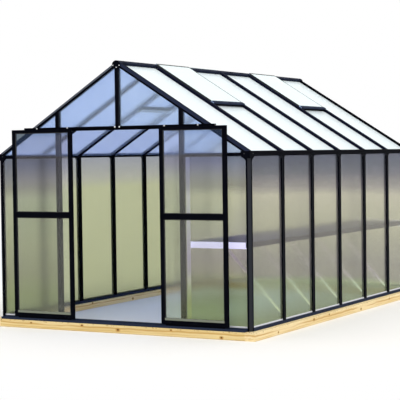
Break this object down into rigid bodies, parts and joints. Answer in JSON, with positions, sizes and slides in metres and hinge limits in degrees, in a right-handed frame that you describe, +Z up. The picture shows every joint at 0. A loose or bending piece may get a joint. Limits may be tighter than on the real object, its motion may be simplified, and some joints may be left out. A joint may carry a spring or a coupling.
{
  "type": "walk-in greenhouse",
  "caption": "Gable-roofed walk-in greenhouse with dark glazing bars, translucent panels, sliding doors, roof vents and a slatted bench, standing on a timber base frame.",
  "frame": {"origin": "on the ground at the middle of the base", "axes": "+X across the gable to the bench side, +Y from the door gable to the rear gable, +Z up"},
  "size_m": [2.56, 3.76, 2.2577],
  "materials": {
    "treated_timber": "rough sawn treated pine",
    "black_bars": "satin black coating on aluminium",
    "translucent_panel": "translucent diffusing twin-wall sheet",
    "bench_aluminium": "bare mill finish",
    "dark_fittings": "moulded dark grey"
  },
  "bodies": {
    "greenhouse": {"base_timber_front": "treated_timber", "base_timber_back": "treated_timber", "base_timber_left": "treated_timber", "base_timber_right": "treated_timber", "front_sill": "black_bars", "back_sill": "black_bars", "left_sill": "black_bars", "right_sill": "black_bars", "corner_posts": "black_bars", "left_wall_studs": "black_bars", "right_wall_studs": "black_bars", "left_eave_rail": "black_bars", "right_eave_rail": "black_bars", "ridge_beam": "black_bars", "left_rafters": "black_bars", "right_rafters": "black_bars", "front_gable_rafters": "black_bars", "back_gable_rafters": "black_bars", "door_jambs": "black_bars", "door_lintel": "black_bars", "door_track": "black_bars", "front_gable_stud": "black_bars", "front_gable_rails": "black_bars", "back_gable_studs": "black_bars", "back_gable_rails": "black_bars", "ridge_end_plates": "black_bars", "eave_corner_caps": "black_bars", "left_wall_panels": "translucent_panel", "right_wall_panels": "translucent_panel", "left_roof_panels": "translucent_panel", "right_roof_panels": "translucent_panel", "front_gable_panels": "translucent_panel", "back_gable_panels": "translucent_panel", "vent_panels": "translucent_panel", "vent_bottom_bars": "black_bars", "vent_cross_bars": "black_bars", "bench_rails": "bench_aluminium", "bench_end_bars": "bench_aluminium", "bench_arms": "bench_aluminium", "bench_struts": "bench_aluminium", "bench_slats": "bench_aluminium"},
    "left_door": {"left_door_stiles": "black_bars", "left_door_rails": "black_bars", "left_door_panels": "translucent_panel", "left_door_hangers": "dark_fittings", "left_door_latch": "dark_fittings"},
    "right_door": {"right_door_stiles": "black_bars", "right_door_rails": "black_bars", "right_door_panels": "translucent_panel", "right_door_hangers": "dark_fittings", "right_door_latch": "dark_fittings"}
  },
  "joints": [
    {"name": "left_door_slide", "type": "slide", "parent": "greenhouse", "child": "left_door", "axis": [1, 0, 0], "range_m": [-0.024, 0.422]},
    {"name": "right_door_slide", "type": "slide", "parent": "greenhouse", "child": "right_door", "axis": [-1, 0, 0], "range_m": [-0.024, 0.422]}
  ]
}
